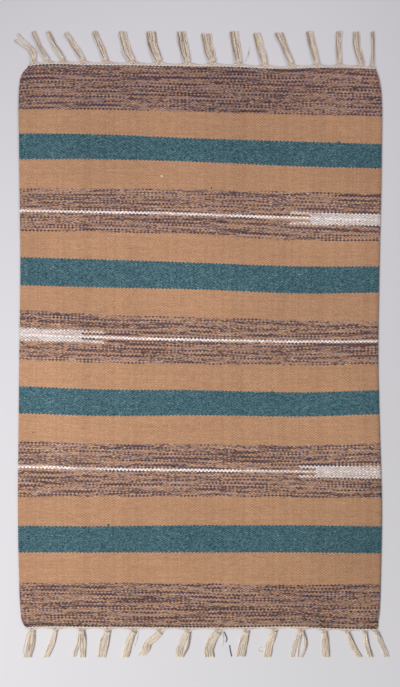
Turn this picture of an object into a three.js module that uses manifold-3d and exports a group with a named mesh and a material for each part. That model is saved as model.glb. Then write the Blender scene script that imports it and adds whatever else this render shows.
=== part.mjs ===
// Kilim rug, lying flat: a weft-faced cotton field, a pale heading strip at each of its ends, and
// two rows of tassels that are tied from the warp ends. Millimetres: X is across the rug, Y along
// it, and Z up from the floor that it lies on.

import * as THREE from 'three';
import { mergeVertices } from 'three/addons/utils/BufferGeometryUtils.js';
import Module from 'manifold-3d';

const wasm = await Module();
wasm.setup();

// The field: a slab of cloth with rounded rims
const clothThickness = 4.2;
const clothHalfLength = 466;
const rimRounding = 0.9;
const rimShare = 0.01;
const fieldGrid = { across: 15, along: 24, layers: 3 };

// The heading strips, wider where the warp ends gather towards a tassel
const pieceGap = 0.3;
const headingThickness = 3.2;
const headingWidth = 4.2;
const gather = { width: 0.8, spread: 10 };
const headingCells = { perTassel: 3, along: 1, layers: 2 };

// The tassels: a knot, then strands in a lower and an upper layer that fan out to the trimmed tips
const knot = { length: 7.5, height: 5, lift: 0.15, roundness: 0.3, strandRoot: 4.5 };
const knotTurns = [0.72, 1, 0.84, 0.94];
const knotGrid = { across: 2, along: knotTurns.length - 1, layers: 2 };
const knotWidths = { least: 7, most: 12.5, share: 0.85 };
const strandPitch = 2.1;
const strandCounts = { fewest: 3, most: 7 };
const strandGrid = { across: 1, along: 3, layers: 1 };
const fanShare = 0.4;
const lowerLayer = { floor: 0, height: 1.6, taper: 0.6 };
const upperLayer = { floor: 1.9, height: 1.5, taper: 0.5 };
const trimLine = { top: 524.5, bottom: -517.5 };
const trimWander = { most: 1.4, step: 2.4 };

// The two selvedges, from the lower end to the upper one: they draw in at the corners and bow
const selvedges = [
  { y: -466, left: -291.5, right: 295.5 },
  { y: -458, left: -296.5, right: 296 },
  { y: -442, left: -299, right: 298 },
  { y: -372, left: -302, right: 300.5 },
  { y: -272, left: -303.5, right: 302 },
  { y: -122, left: -302.5, right: 298 },
  { y: -23, left: -301.5, right: 296 },
  { y: 127, left: -299.5, right: 298 },
  { y: 326, left: -301.5, right: 302 },
  { y: 420, left: -302, right: 301.5 },
  { y: 439, left: -300.5, right: 299 },
  { y: 451, left: -298, right: 296 },
  { y: 459, left: -293, right: 293 },
  { y: 466, left: -286, right: 291 },
];

// The last pick at each end of the cloth, which isn't straight
const upperEnd = [
  { x: -304, y: 465 },
  { x: -284, y: 467 },
  { x: -258, y: 469.5 },
  { x: -190, y: 468.5 },
  { x: -120, y: 468 },
  { x: -27, y: 466 },
  { x: 43, y: 465.5 },
  { x: 136, y: 462 },
  { x: 182, y: 463.5 },
  { x: 252, y: 463.5 },
  { x: 304, y: 461 },
];
const lowerEnd = [
  { x: -304, y: -467 },
  { x: -260, y: -465 },
  { x: -167, y: -465.5 },
  { x: 43, y: -466.5 },
  { x: 159, y: -465 },
  { x: 206, y: -467.5 },
  { x: 304, y: -469.5 },
];

// Where the cloth doesn't lie quite flat: the middle, height and reach of each soft swell
const swells = [
  { x: -235, y: 360, height: 0.9, across: 70, along: 120 },
  { x: 60, y: 400, height: 0.7, across: 120, along: 60 },
  { x: 235, y: 300, height: 1.1, across: 60, along: 150 },
  { x: -60, y: 60, height: 0.5, across: 150, along: 90 },
  { x: 200, y: -180, height: 0.8, across: 90, along: 140 },
  { x: -210, y: -300, height: 0.7, across: 80, along: 110 },
];

// The tassels, from left to right. root, mid and tip are where its middle line leaves the heading,
// is half way and ends; width is that of its yarn at the tips, split the gap between two locks
// there, and short how far its tips stop before the trim line.
const upperTassels = [
  { root: -277, mid: -285, tip: -304, width: 11, split: 1, short: 3 },
  { root: -253, mid: -267, tip: -278, width: 6, split: 0, short: 0 },
  { root: -227, mid: -242, tip: -253, width: 8, split: 0, short: 0 },
  { root: -194, mid: -208, tip: -224, width: 9, split: 0, short: 2 },
  { root: -156, mid: -165, tip: -176, width: 9, split: 0, short: 0 },
  { root: -112, mid: -123, tip: -130, width: 12, split: 0, short: 0 },
  { root: -68, mid: -78, tip: -82, width: 14, split: 0.5, short: 0 },
  { root: -21, mid: -27, tip: -32, width: 14, split: 0, short: 0 },
  { root: 21, mid: 14, tip: 10, width: 16, split: 1, short: 3 },
  { root: 65, mid: 60, tip: 56, width: 13, split: 0, short: 0 },
  { root: 108, mid: 100, tip: 94, width: 12, split: 0, short: 3 },
  { root: 153, mid: 142, tip: 131, width: 11, split: 3, short: 2 },
  { root: 195, mid: 188, tip: 182, width: 11, split: 0, short: 0 },
  { root: 232, mid: 231, tip: 231, width: 9, split: 1, short: 0 },
  { root: 269, mid: 262, tip: 259, width: 11, split: 0, short: 0 },
  { root: 286, mid: 288, tip: 287, width: 5, split: 0, short: 0 },
];
const lowerTassels = [
  { root: -280, mid: -283, tip: -289, width: 14, split: 0, short: 0 },
  { root: -241, mid: -247, tip: -258, width: 10, split: 0, short: 0 },
  { root: -198, mid: -198, tip: -202, width: 15, split: 5, short: 0 },
  { root: -154, mid: -160, tip: -164, width: 14, split: 0, short: 0 },
  { root: -110, mid: -119, tip: -126, width: 12, split: 0, short: 0 },
  { root: -66, mid: -86, tip: -98, width: 13, split: 0, short: 3 },
  { root: -20, mid: -29, tip: -33, width: 13, split: 2, short: 1 },
  { root: 30, mid: 17, tip: 15, width: 15, split: 0, short: 0 },
  { root: 77, mid: 71, tip: 67, width: 14, split: 1, short: 1 },
  { root: 124, mid: 116, tip: 111, width: 12, split: 0, short: 0 },
  { root: 168, mid: 164, tip: 162, width: 14, split: 8, short: 0 },
  { root: 206, mid: 208, tip: 210, width: 12, split: 0, short: 0 },
  { root: 244, mid: 253, tip: 265, width: 9, split: 0, short: 0 },
  { root: 274, mid: 277, tip: 283, width: 9, split: 0, short: 0 },
  { root: 293, mid: 302, tip: 311, width: 9, split: 0, short: 0 },
];

// The ends of the rug: outward is the way from the cloth to the fringe along Y
const rugEnds = {
  top: { rows: upperEnd, tassels: upperTassels, outward: 1, trim: trimLine.top },
  bottom: { rows: lowerEnd, tassels: lowerTassels, outward: -1, trim: trimLine.bottom },
};

const clothFinish = { color: 0xb2886d, roughness: 0.95, metalness: 0 };
const headingFinish = { color: 0xe2dccd, roughness: 0.95, metalness: 0 };
const tasselFinish = { color: 0xcfbfa2, roughness: 0.9, metalness: 0 };

const { lerp, smoothstep, clamp } = THREE.MathUtils;

// A smooth curve through one column of a table, read by another column
function columnCurve(rows, place, value) {
  const places = rows.map((row) => row[place]);
  const values = rows.map((row) => row[value]);
  const curve = new THREE.CubicInterpolant(places, values, 1);
  return (at) => curve.evaluate(at)[0];
}

const leftSelvedge = columnCurve(selvedges, 'y', 'left');
const rightSelvedge = columnCurve(selvedges, 'y', 'right');

// The last pick runs straight from each column of the field's cells to the next
for (const end of Object.values(rugEnds)) {
  const level = end.outward * clothHalfLength;
  const pickCurve = columnCurve(end.rows, 'x', 'y');
  const columns = Array.from({ length: fieldGrid.across + 1 }, (_, column) => {
    return lerp(leftSelvedge(level), rightSelvedge(level), column / fieldGrid.across);
  });
  const picks = new THREE.LinearInterpolant(columns, columns.map((x) => pickCurve(x)), 1);
  end.lastPick = (x) => picks.evaluate(x)[0];
}

// A block of across by along by layers cells, with each of its points moved to place(u, v, w)
function shapedBlock(grid, place) {
  const block = new THREE.BoxGeometry(1, 1, 1, grid.across, grid.along, grid.layers);
  const points = block.attributes.position;
  for (let i = 0; i < points.count; i += 1) {
    const moved = place(points.getX(i) + 0.5, points.getY(i) + 0.5, points.getZ(i) + 0.5);
    points.setXYZ(i, moved.x, moved.y, moved.z);
  }
  block.computeVertexNormals();
  return block;
}

// The rounding of a rim: the top and bottom of a slab are smaller all round than its middle
function rimInset(w) {
  return Math.min(w, 1 - w) < rimShare ? rimRounding : 0;
}

function swellHeight(x, y) {
  return swells.reduce((height, swell) => {
    const reach = ((x - swell.x) / swell.across) ** 2 + ((y - swell.y) / swell.along) ** 2;
    return height + swell.height * Math.exp(-reach);
  }, 0);
}

// The field, whose rows of cells close up towards the corners, where the selvedges draw in
function fieldGeometry() {
  return shapedBlock(fieldGrid, (u, v, w) => {
    const share = 0.5 - 0.5 * Math.cos(Math.PI * v);
    const inset = rimInset(w);
    const level = lerp(-clothHalfLength, clothHalfLength, share);
    const x = lerp(leftSelvedge(level) + inset, rightSelvedge(level) - inset, u);
    const y = lerp(rugEnds.bottom.lastPick(x) + inset, rugEnds.top.lastPick(x) - inset, share);
    return new THREE.Vector3(x, y, w * (clothThickness + swellHeight(x, y)));
  });
}

// How far the heading reaches past the last pick at x
function headingReach(end, x) {
  const gathered = end.tassels.reduce((most, tassel) => {
    return Math.max(most, Math.exp(-(((x - tassel.root) / gather.spread) ** 2)));
  }, 0);
  return pieceGap + headingWidth + gather.width * gathered;
}

// The corners of the heading's cells: one at each tassel's root, and some on the way to the next
function headingColumns(end) {
  const level = end.outward * clothHalfLength;
  const roots = end.tassels.map((tassel) => tassel.root);
  const corners = [leftSelvedge(level) + rimRounding, ...roots];
  const last = rightSelvedge(level) - rimRounding;
  const columns = corners.flatMap((corner, index) => {
    const next = corners[index + 1] ?? last;
    return Array.from({ length: headingCells.perTassel }, (_, step) => {
      return lerp(corner, next, step / headingCells.perTassel);
    });
  });
  return [...columns, last];
}

function headingGeometry(end) {
  const columns = headingColumns(end);
  const grid = { ...headingCells, across: columns.length - 1 };
  return shapedBlock(grid, (u, v, w) => {
    const x = columns[Math.round(u * grid.across)];
    const share = end.outward > 0 ? v : 1 - v;
    const inset = rimInset(w);
    const reach = lerp(pieceGap + inset, headingReach(end, x) - inset, share);
    return new THREE.Vector3(x, end.lastPick(x) + end.outward * reach, w * headingThickness);
  });
}

// A closed geometry as a solid that can be joined, and the geometry of a joined solid
function toSolid(geometry) {
  const bare = geometry.clone();
  bare.deleteAttribute('normal');
  bare.deleteAttribute('uv');
  const merged = mergeVertices(bare);
  return new wasm.Manifold(new wasm.Mesh({
    numProp: 3,
    vertProperties: Float32Array.from(merged.attributes.position.array),
    triVerts: Uint32Array.from(merged.index.array),
  }));
}

function toGeometry(solid) {
  const mesh = solid.getMesh();
  const geometry = new THREE.BufferGeometry();
  geometry.setAttribute('position', new THREE.BufferAttribute(mesh.vertProperties, 3));
  geometry.setIndex(new THREE.BufferAttribute(mesh.triVerts, 1));
  geometry.computeVertexNormals();
  return geometry;
}

// Points are placed beside a tassel's middle line by its direction there
function beside(point, direction, aside, height) {
  return new THREE.Vector3(point.x + direction.y * aside, point.y - direction.x * aside, height);
}

// The knot: two rounded turns of yarn with a dip between them
function knotGeometry(start, direction, width) {
  return shapedBlock(knotGrid, (u, v, w) => {
    const size = knotTurns[Math.round(v * knotGrid.along)];
    const crown = 1 - knot.roundness * (2 * u - 1) ** 2;
    const narrowing = 1 - knot.roundness * Math.abs(2 * w - 1);
    const point = start.clone().addScaledVector(direction, knot.length * v);
    const height = knot.lift + w * knot.height * size * crown;
    return beside(point, direction, (u - 0.5) * width * size * narrowing, height);
  });
}

// The strands of one layer, side by side along the tassel's middle line. rootWidth and tipWidth
// are the layer's own. The strands fan out over the first fanShare of the tassel's length, and
// past it its left and right halves part where the tassel splits in two locks.
function layerStrands(line, tassel, layer, count, rootWidth, tipWidth) {
  const strands = [];
  for (let i = 0; i < count; i += 1) {
    const aside = (i + 0.5) / count - 0.5;
    const cutBack = trimWander.most * (1 + Math.sin(trimWander.step * i + tassel.root));
    const reach = 1 - cutBack / line.getLength();
    strands.push(shapedBlock(strandGrid, (u, v, w) => {
      const at = v * reach;
      const span = lerp(rootWidth, tipWidth, smoothstep(at, 0, fanShare));
      const parted = 0.5 * Math.sign(aside) * tassel.split * smoothstep(at, fanShare, 1);
      const width = (span / count - pieceGap) * (w > 0.5 ? layer.taper : 1);
      const offset = aside * span + parted + (u - 0.5) * width;
      return beside(line.getPoint(at), line.getTangent(at), offset, layer.floor + w * layer.height);
    }));
  }
  return strands;
}

// A knot that leans starts further out, so that its corner stays clear of the heading
function tasselGeometry(end, tassel) {
  const knotWidth = clamp(tassel.width * knotWidths.share, knotWidths.least, knotWidths.most);
  const edgeY = end.lastPick(tassel.root) + end.outward * (headingReach(end, tassel.root) + pieceGap);
  const tip = new THREE.Vector3(tassel.tip, end.trim - end.outward * tassel.short, 0);
  const mid = new THREE.Vector3(tassel.mid, 0.5 * (edgeY + tip.y), 0);
  const root = new THREE.Vector3(tassel.root, edgeY, 0);
  const direction = mid.clone().sub(root).normalize();
  root.y += end.outward * 0.5 * knotTurns[0] * knotWidth * Math.abs(direction.x);
  const strandRoot = root.clone().addScaledVector(direction, knot.strandRoot);
  const line = new THREE.CatmullRomCurve3([strandRoot, mid, tip]);

  const lowerCount = clamp(
    Math.round(tassel.width / strandPitch), strandCounts.fewest, strandCounts.most);
  const upperCount = Math.floor(lowerCount / 2);
  const upperShare = (upperCount + 1) / lowerCount;
  const rootWidth = knotTurns.at(-1) * knotWidth;
  const strands = [
    ...layerStrands(line, tassel, lowerLayer, lowerCount, rootWidth, tassel.width),
    ...layerStrands(
      line, tassel, upperLayer, upperCount, upperShare * rootWidth, upperShare * tassel.width),
  ];
  const whole = strands.reduce(
    (solid, geometry) => solid.add(toSolid(geometry)),
    toSolid(knotGeometry(root, direction, knotWidth)));
  return toGeometry(whole);
}

function namedMesh(name, geometry, finish) {
  const mesh = new THREE.Mesh(geometry, new THREE.MeshStandardMaterial(finish));
  mesh.name = name;
  return mesh;
}

// The rug: its origin is under the middle of its outer box, on the floor
const pieces = new THREE.Group();
pieces.add(namedMesh('field', fieldGeometry(), clothFinish));
for (const [name, end] of Object.entries(rugEnds)) {
  pieces.add(namedMesh(`heading_${name}`, headingGeometry(end), headingFinish));
  end.tassels.forEach((tassel, index) => {
    const number = String(index + 1).padStart(2, '0');
    pieces.add(namedMesh(`tassel_${name}_${number}`, tasselGeometry(end, tassel), tasselFinish));
  });
}
const middle = new THREE.Box3().setFromObject(pieces).getCenter(new THREE.Vector3());
pieces.position.set(-middle.x, -middle.y, 0);
const rug = new THREE.Group();
rug.add(pieces);

export default rug;
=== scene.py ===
import math
from collections import namedtuple

import bpy
import numpy as np
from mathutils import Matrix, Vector


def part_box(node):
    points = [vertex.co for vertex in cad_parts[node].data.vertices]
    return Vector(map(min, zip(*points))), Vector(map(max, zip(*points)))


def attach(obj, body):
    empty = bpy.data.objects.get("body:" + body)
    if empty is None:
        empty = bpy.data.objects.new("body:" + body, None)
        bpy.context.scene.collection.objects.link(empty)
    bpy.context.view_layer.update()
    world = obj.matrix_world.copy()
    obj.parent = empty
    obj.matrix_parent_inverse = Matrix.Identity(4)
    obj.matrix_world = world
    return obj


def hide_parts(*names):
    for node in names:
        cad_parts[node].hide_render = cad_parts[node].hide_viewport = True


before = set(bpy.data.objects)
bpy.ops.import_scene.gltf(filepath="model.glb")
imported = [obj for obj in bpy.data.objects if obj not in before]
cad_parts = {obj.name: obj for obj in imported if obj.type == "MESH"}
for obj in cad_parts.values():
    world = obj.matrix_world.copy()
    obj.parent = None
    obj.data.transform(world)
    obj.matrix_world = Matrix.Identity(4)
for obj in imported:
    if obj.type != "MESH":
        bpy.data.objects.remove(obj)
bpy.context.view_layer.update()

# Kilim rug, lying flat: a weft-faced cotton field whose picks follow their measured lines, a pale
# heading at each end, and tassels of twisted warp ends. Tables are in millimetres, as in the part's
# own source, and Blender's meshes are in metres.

MM = 0.001
RANDOM = np.random.default_rng(20)

# The cloth: 195 warps, and the picks of each stripe from the upper end to the lower one
WARPS = 195
CLOTH_THICKNESS = 4.2
CLOTH_HALF_LENGTH = 466
CELLS_ALONG = 24
CELLS_ACROSS = 15
WEAVE_RELIEF = 0.75
TOOTH = 0.85
STRIPE_COLUMNS = (-290, -167, 0, 166, 289)
STRIPES = (
    ("melange", 40, (393.5, 394.5, 389.5, 386, 382)),
    ("tan", 22, (354.5, 353, 346, 341, 337)),
    ("teal", 20, (311.5, 311.5, 307, 299.5, 296.5)),
    ("tan", 24, (262.5, 263, 261.5, 257.5, 254)),
    ("melange", 22, (226.5, 224.2, 219.9, 213.7, 210.7)),
    ("melange", 18, (192.5, 191, 186, 176.5, 176)),
    ("tan", 24, (148.5, 145, 139.5, 133.5, 133.5)),
    ("teal", 22, (102, 98.5, 95, 88.5, 90)),
    ("tan", 24, (61, 53.5, 48.5, 44.5, 43)),
    ("melange", 19, (20.8, 15.8, 11.3, 8.1, 9.5)),
    ("melange", 21, (-23, -27, -29.5, -31, -30)),
    ("tan", 22, (-66, -71, -72.5, -76, -72.5)),
    ("teal", 22, (-111, -115, -114, -116, -112.5)),
    ("tan", 24, (-156.5, -160, -162.5, -164, -160)),
    ("melange", 22, (-199, -202.8, -205.6, -207.8, -209.2)),
    ("melange", 22, (-249.5, -249.5, -249, -250.5, -252)),
    ("tan", 24, (-298, -298.5, -297, -297, -298.5)),
    ("teal", 24, (-342, -342, -342, -342, -343.5)),
    ("tan", 26, (-392.5, -392.5, -393.5, -396.5, -394)),
    ("melange", 38, None),
)
PICKS = sum(picks for _, picks, _ in STRIPES)

# The white lines: the rows of melange whose last edge is the line's middle, the side of its block,
# and how many warps the block's body and its fingers reach from that selvedge
WHITE_LINES = (
    (4, "right", 38, 49),
    (9, "left", 34, 46),
    (14, "right", 35, 44),
)
WHITE_BLOCK = 10

SELVEDGE_ROWS = (-466, -458, -442, -372, -272, -122, -23, 127, 326, 420, 439, 451, 459, 466)
LEFT_SELVEDGE = (-291.5, -296.5, -299, -302, -303.5, -302.5, -301.5, -299.5, -301.5, -302,
                 -300.5, -298, -293, -286)
RIGHT_SELVEDGE = (295.5, 296, 298, 300.5, 302, 298, 296, 298, 302, 301.5, 299, 296, 293, 291)
UPPER_END = (
    (-304, -284, -258, -190, -120, -27, 43, 136, 182, 252, 304),
    (465, 467, 469.5, 468.5, 468, 466, 465.5, 462, 463.5, 463.5, 461),
)
LOWER_END = (
    (-304, -260, -167, 43, 159, 206, 304),
    (-467, -465, -465.5, -466.5, -465, -467.5, -469.5),
)

# Soft swells of the cloth: middle, height and reach of each
SWELLS = (
    (-235, 360, 0.9, 70, 120),
    (60, 400, 0.7, 120, 60),
    (235, 300, 1.1, 60, 150),
    (-60, 60, 0.5, 150, 90),
    (200, -180, 0.8, 90, 140),
    (-210, -300, 0.7, 80, 110),
)

# The headings and tassels, as the part has them. A tassel is its middle line's place at the root,
# half way and at the tip, its width at the tips, the gap between its locks there, and how far it
# stops before the trim line.
PIECE_GAP = 0.3
HEADING_WIDTH = 4.2
HEADING_THICKNESS = 3.2
GATHER_WIDTH = 0.8
KNOT_LENGTH = 7.5
KNOT_HEIGHT = 5
KNOT_WIDTHS = (7, 12.5, 0.85)
KNOT_TURNS = (0.72, 1, 0.84, 0.94)
TRIM_TOP = 524.5
TRIM_BOTTOM = -517.5
UPPER_TASSELS = (
    (-277, -285, -304, 11, 1, 3),
    (-253, -267, -278, 6, 0, 0),
    (-227, -242, -253, 8, 0, 0),
    (-194, -208, -224, 9, 0, 2),
    (-156, -165, -176, 9, 0, 0),
    (-112, -123, -130, 12, 0, 0),
    (-68, -78, -82, 14, 0.5, 0),
    (-21, -27, -32, 14, 0, 0),
    (21, 14, 10, 16, 1, 3),
    (65, 60, 56, 13, 0, 0),
    (108, 100, 94, 12, 0, 3),
    (153, 142, 131, 11, 3, 2),
    (195, 188, 182, 11, 0, 0),
    (232, 231, 231, 9, 1, 0),
    (269, 262, 259, 11, 0, 0),
    (286, 288, 287, 5, 0, 0),
)
LOWER_TASSELS = (
    (-280, -283, -289, 14, 0, 0),
    (-241, -247, -258, 10, 0, 0),
    (-198, -198, -202, 15, 5, 0),
    (-154, -160, -164, 14, 0, 0),
    (-110, -119, -126, 12, 0, 0),
    (-66, -86, -98, 13, 0, 3),
    (-20, -29, -33, 13, 2, 1),
    (30, 17, 15, 15, 0, 0),
    (77, 71, 67, 14, 1, 1),
    (124, 116, 111, 12, 0, 0),
    (168, 164, 162, 14, 8, 0),
    (206, 208, 210, 12, 0, 0),
    (244, 253, 265, 9, 0, 0),
    (274, 277, 283, 9, 0, 0),
    (293, 302, 311, 9, 0, 0),
)

# Loose threads beside the tassels: the tassel each belongs to, its colour and its path
STRAYS = {
    "bottom_01": (("cream", ((-287, -476), (-291.5, -490), (-296, -511))),),
    "bottom_05": (("cream", ((-103.5, -475), (-105, -486.5), (-110, -500))),),
    "bottom_08": (
        ("cream", ((37, -474), (38.5, -486), (37, -499))),
        ("dark", ((39.5, -475), (44, -486), (42.5, -492.5))),
        ("dark", ((48.5, -497.5), (50, -507), (52, -516))),
    ),
    "bottom_10": (("cream", ((108, -500.5), (98, -502.5), (97.5, -506.5), (104, -508.5))),),
    "top_06": (("cream", ((-124.5, 477), (-131, 488), (-133, 496))),),
    "top_10": (
        ("cream", ((74.5, 475), (79, 487), (82.5, 498))),
        ("cream", ((76.5, 474.5), (80.5, 485), (82, 496))),
    ),
}

STRAY_DIAMETERS = {"cream": 0.95, "dark": 1.5}

# Tassels whose tips part into uneven locks: the share of the width up to which each lock reaches,
# how far aside its tip has moved, how far it bows out on the way, and how far it is cut back
LOCKS = {
    "top_01": ((0.5, -11.5, -1, 10), (1, -3.5, 0, 0)),
    "bottom_03": ((0.33, -4.3, 0, 0), (1, 2.9, 0, 0)),
    "bottom_07": ((0.7, -1.5, 0, 0), (1, -0.5, 4, 0)),
    "bottom_11": ((0.46, -4.4, -1, 0), (0.62, -1, 0, 0), (1, 1.5, 6.5, 0)),
}

# Tassels that wind: how far aside their middle is, half way to its own middle and to its tip
BENDS = {
    "top_01": (3, -1),
    "top_03": (1, 0),
    "top_04": (0.5, 1),
    "top_06": (-1.5, -0.5),
    "top_11": (1, 1),
    "bottom_02": (-0.5, 0),
    "bottom_05": (-1, 0.5),
    "bottom_06": (1.5, 3),
    "bottom_08": (-1, -1.5),
}

# The unevenness of hand weaving, and how the slabs' rims close
PICK_WANDER = 0.07
FLOAT_UNEVENNESS = 0.08
EDGE_DROP = 0.5
SELVEDGE_TURN = 0.3
RIM_INSET = 0.9

# The heading's picks: how far out its rows and its outer edge lie, each with its share of the
# cloth's teeth, how far the rows are below its top, and how far in its sides are
HEADING_REACHES = ((1.0, 0.7), (2.1, 0.4), (2.7, 0.4))
HEADING_DROPS = (0.15, 0.35)
HEADING_RELIEF = 0.8
HEADING_INSET = 0.6
HEADING_RIM = 0.5

# The fringe's warp ends: cords of two plies, whose offset and radius are shares of the diameter
CORD_DIAMETER = 1.65
CORD_PITCH = 1.5
CORD_TWIST = 5.2
CORD_SIDES = 5
PLY_OFFSET = 0.24
PLY_RADIUS = 0.29
GATHERED_DIAMETER = 1.15
WARP_WANDER = 0.5
TIP_WANDER = 0.6
TIP_SPREAD = 1.1
LAYER_HEIGHT = 1.15
LOWEST_MIDDLE = 0.9

# A knot's cords: how thick and how far apart they are, where the first one starts, how each leans
# and bows, from which turn to which it goes, and how far it lies below the surface
KNOT_CORDS = 5
KNOT_CORD_DIAMETER = 1.3
KNOT_CORD_PITCH = 1.15
KNOT_FIRST = 1.1
KNOT_LEAN = 0.9
KNOT_BOW = 0.45
KNOT_SWEEP = (-0.35, 1.3)
KNOT_INSET = 0.6

# Each cord has a number for its material: from these on the knots, the darker ends (painted shade
# along a tassel's shaded side, and brown ends inside), the gathered ends and the dark threads
KNOT_STRAND = 700
BROWN_AND_PAINTED_SHADE_STRAND = 800
GATHERED_STRAND = 1000
DARK_STRAND = 2000

# Darker warp ends: past which share of a tassel's width they lie as painted shade along its shaded
# side (the left at the upper end, the right at the lower one), how many kinds there are, and how
# many ends inside an upper tassel there are to each brown one
PAINTED_SHADE_EDGE = {"top": -0.31, "bottom": 0.38}
BROWN_AND_PAINTED_SHADE_KINDS = 6
BROWN_EVERY = 8

# Steps along each path
HEADING_STEPS = 12
KNOT_STEPS = 30
TASSEL_STEPS = 52
STRAY_STEPS = 30

# Places on the bake maps, from their lower left corner to the other one, and the plan that they hold
MAP_HALF_WIDTH = 305
MAP_HALF_LENGTH = 471
FIELD_FACE = ((0.005, 0.01), (0.635, 0.98))
FIELD_UNDERSIDE = ((0.645, 0.01), (0.995, 0.55))
HEADING_FACE = ((0.01, 0.9), (0.99, 0.95))
HEADING_UNDERSIDE = ((0.01, 0.955), (0.99, 0.995))
HEADING_CORDS = ((0.01, 0.01), (0.99, 0.89))
TASSEL_CORDS = ((0.01, 0.01), (0.99, 0.99))

# Looks: the fine yarns in a pick, how far its floats bulge past each other, and a float's size
PICK_YARNS = 4
FLOAT_SWING = 0.4
WARP_SPACING = 3.08
PICK_SPACING = 1.94
RELIEF_DEPTH = 0.0004
YARN_RELIEF_DEPTH = 0.00025

# The melange's runs of light and dark: how much each kind counts, and how fast it changes from
# warp to warp. It turns dark below the edge.
SHORT_RUNS = (0.18, 0.4)
LONG_RUNS = (0.12, 0.09)
PICK_RUNS = (0.3, 0.02)
PAIR_RUNS = (0.42, 0.035)
PAIR_CHANGE = 0.35
SINGLE_FLOATS = 0.13
MELANGE_EDGE = 0.56
MELANGE_BLEND = 0.035

# Light and floor, in metres and watts: a lamp is its place, its aim, its cone in degrees, its power
# and its tint. Camera, in millimetres: the picture's width and middle are those on the cloth.
FLOOR_HALF_SIZE = 4
FLOOR_GAP = 0.0003
SKY = 0.3
SOFTBOX_POWER = 41.5
SOFTBOX_SIZE = 2
SOFTBOX_PLACE = (-1.1, -0.9, 2.2)
LAMPS = (
    ("lower lamp", (-2.4, -1.6, 3.2), (0, -0.5, 0), 32, 196, (1, 0.97, 0.91)),
    ("upper lamp", (2.4, 3.6, 2.6), (-0.12, 0.35, 0), 15, 318, (0.98, 0.88, 0.98)),
)
LAMP_RADIUS = 0.2
LENS = 90
SENSOR_WIDTH = 36
IMAGE_WIDTH = 664.8
IMAGE_MIDDLE = (-0.5, 5.3)


def curve(places, values, at):
    """A smooth curve through a table, as the part's source draws it"""
    at = np.clip(at, places[0], places[-1])
    before = np.clip(np.searchsorted(places, at, side="right") - 1, 0, len(places) - 2)
    further_back, start, end, further_on = (
        np.array((places[1], *places, places[-2]), float)[before + i] for i in range(4))
    value_back, value_start, value_end, value_on = (
        np.array((values[1], *values, values[-2]), float)[before + i] for i in range(4))
    half = 0.5 * (end - start)
    back = half / (start - further_back)
    on = half / (further_on - end)
    p = (at - start) / (end - start)
    p2 = p * p
    p3 = p2 * p
    return (
        value_back * (-back * p3 + 2 * back * p2 - back * p)
        + value_start * ((1 + back) * p3 + (-1.5 - 2 * back) * p2 + (-0.5 + back) * p + 1)
        + value_end * ((-1 - on) * p3 + (1.5 + on) * p2 + 0.5 * p)
        + value_on * (on * p3 - on * p2)
    )


def lerp(a, b, share):
    return a + (b - a) * share


def smoothstep(at, start, end):
    share = np.clip((at - start) / (end - start), 0, 1)
    return share * share * (3 - 2 * share)


def left_selvedge(y):
    return curve(SELVEDGE_ROWS, LEFT_SELVEDGE, y)


def right_selvedge(y):
    return curve(SELVEDGE_ROWS, RIGHT_SELVEDGE, y)


def swell(x, y):
    height = np.zeros_like(x + y)
    for middle_x, middle_y, most, across, along in SWELLS:
        height += most * np.exp(-(((x - middle_x) / across) ** 2 + ((y - middle_y) / along) ** 2))
    return height


# The part is centred on its outer box, and its tables aren't. The way between the two comes from
# the first and last places of the field's rows and columns of cells.
CELL_ROWS = -CLOTH_HALF_LENGTH * np.cos(math.pi * np.arange(CELLS_ALONG + 1) / CELLS_ALONG)
CELL_COLUMNS = lerp(
    left_selvedge(CLOTH_HALF_LENGTH), right_selvedge(CLOTH_HALF_LENGTH),
    np.arange(CELLS_ACROSS + 1) / CELLS_ACROSS)
SHIFT_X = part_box("field")[0][0] / MM - left_selvedge(CELL_ROWS).min()
SHIFT_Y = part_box("field")[1][1] / MM - curve(*UPPER_END, CELL_COLUMNS).max()


def add_object(name, data):
    added = bpy.data.objects.new(name, data)
    bpy.context.scene.collection.objects.link(added)
    return added


class MeshBuilder:
    """Points and faces of one piece, with a map for its yarn and a map for baking"""

    def __init__(self):
        self.points = []
        self.count = 0
        self.loops = []
        self.totals = []
        self.weave = []
        self.bake = []
        self.flat = []
        self.finish = []
        self.finish_now = 0

    def add_points(self, points):
        start = self.count
        self.points.append(points.reshape(-1, 3))
        self.count += len(self.points[-1])
        return start

    def add_faces(self, faces, weave, bake, flat=False):
        """Each row of faces is one face, and weave and bake have a place for each corner of it"""
        self.loops.append(faces.reshape(-1))
        self.totals.append(np.full(len(faces), faces.shape[1]))
        self.weave.append(weave.reshape(-1, 2))
        self.bake.append(bake.reshape(-1, 2))
        self.flat.append(np.full(len(faces), flat))
        self.finish.append(np.full(len(faces), self.finish_now))

    def build(self, name, *materials):
        points = (np.concatenate(self.points) + (SHIFT_X, SHIFT_Y, 0)) * MM
        loops = np.concatenate(self.loops)
        totals = np.concatenate(self.totals)
        mesh = bpy.data.meshes.new(name)
        mesh.vertices.add(len(points))
        mesh.vertices.foreach_set("co", points.reshape(-1))
        mesh.loops.add(len(loops))
        mesh.loops.foreach_set("vertex_index", loops)
        mesh.polygons.add(len(totals))
        mesh.polygons.foreach_set("loop_start", np.cumsum(totals) - totals)
        mesh.polygons.foreach_set("use_smooth", ~np.concatenate(self.flat))
        for layer_name, places in (("weave", self.weave), ("OFBake", self.bake)):
            layer = mesh.uv_layers.new(name=layer_name)
            layer.data.foreach_set("uv", np.concatenate(places).reshape(-1))
        for material in materials:
            mesh.materials.append(material)
        mesh.polygons.foreach_set("material_index", np.concatenate(self.finish))
        mesh.update(calc_edges=True)
        return add_object(name, mesh)


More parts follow.
